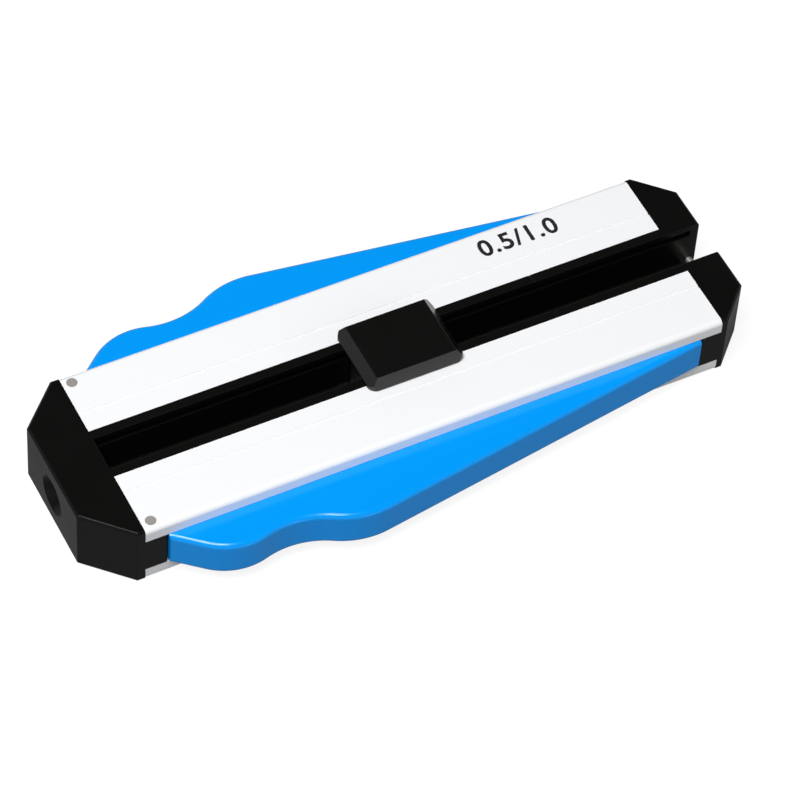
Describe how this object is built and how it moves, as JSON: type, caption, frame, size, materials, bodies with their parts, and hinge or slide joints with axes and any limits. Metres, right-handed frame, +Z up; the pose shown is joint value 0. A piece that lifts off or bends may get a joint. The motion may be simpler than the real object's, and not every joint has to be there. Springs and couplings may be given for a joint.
{
  "type": "fibre optic stripper",
  "caption": "Pocket fibre stripper: side levers close notched blades on a fibre fed through the nose, and a thumb slider sets the strip length.",
  "frame": {"origin": "centre of the tool's outline at the height of the underside", "axes": "+X along the body towards the tail, +Y to the right of a tool held nose forward, +Z up through the top covers"},
  "size_m": [0.1, 0.0446, 0.0124],
  "materials": {
    "black_plastic": "satin moulded black",
    "white_plastic": "satin moulded white",
    "blue_plastic": "glossy moulded blue",
    "slider_plastic": "satin moulded black",
    "carriage_plastic": "plain dark grey, low friction",
    "blade_steel": "ground",
    "pin_steel": "ground dowel steel",
    "screw_steel": "zinc plated",
    "spring_steel": "drawn wire",
    "bush_brass": "turned"
  },
  "bodies": {
    "housing": {"body_frame": "black_plastic", "top_cover_left": "white_plastic", "top_cover_right": "white_plastic", "bottom_cover": "white_plastic", "guide_bush": "bush_brass", "pivot_pins": "pin_steel", "cover_pins": "pin_steel", "cover_screws": "screw_steel", "floor_screws": "screw_steel", "tail_stop_pin": "pin_steel", "spring_left": "spring_steel", "spring_right": "spring_steel"},
    "left_lever": {"lever_left": "blue_plastic", "blade_left": "blade_steel", "blade_screw_left": "screw_steel"},
    "right_lever": {"lever_right": "blue_plastic", "blade_right": "blade_steel", "blade_screw_right": "screw_steel"},
    "slider": {"slider_pad": "slider_plastic", "slider_carriage": "carriage_plastic", "stop_plate": "blade_steel", "slider_screw": "screw_steel", "detent_ball": "pin_steel", "detent_spring": "spring_steel"}
  },
  "joints": [
    {"name": "squeeze_left", "type": "hinge", "parent": "housing", "child": "left_lever", "pos_m": [0.0382, -0.01045, 0.00515], "axis": [0, 0, -1], "range_deg": [0, 1.75], "stiffness_Nm_per_rad": 1.5, "springref_deg": -4.58, "deforming": ["spring_left"]},
    {"name": "squeeze_right", "type": "hinge", "parent": "housing", "child": "right_lever", "pos_m": [0.0382, 0.01045, 0.00515], "axis": [0, 0, 1], "range_deg": [0, 1.75], "stiffness_Nm_per_rad": 1.5, "springref_deg": -4.58, "deforming": ["spring_right"]},
    {"name": "strip_length", "type": "slide", "parent": "housing", "child": "slider", "axis": [1, 0, 0], "range_m": [-0.038, 0.0405]}
  ]
}
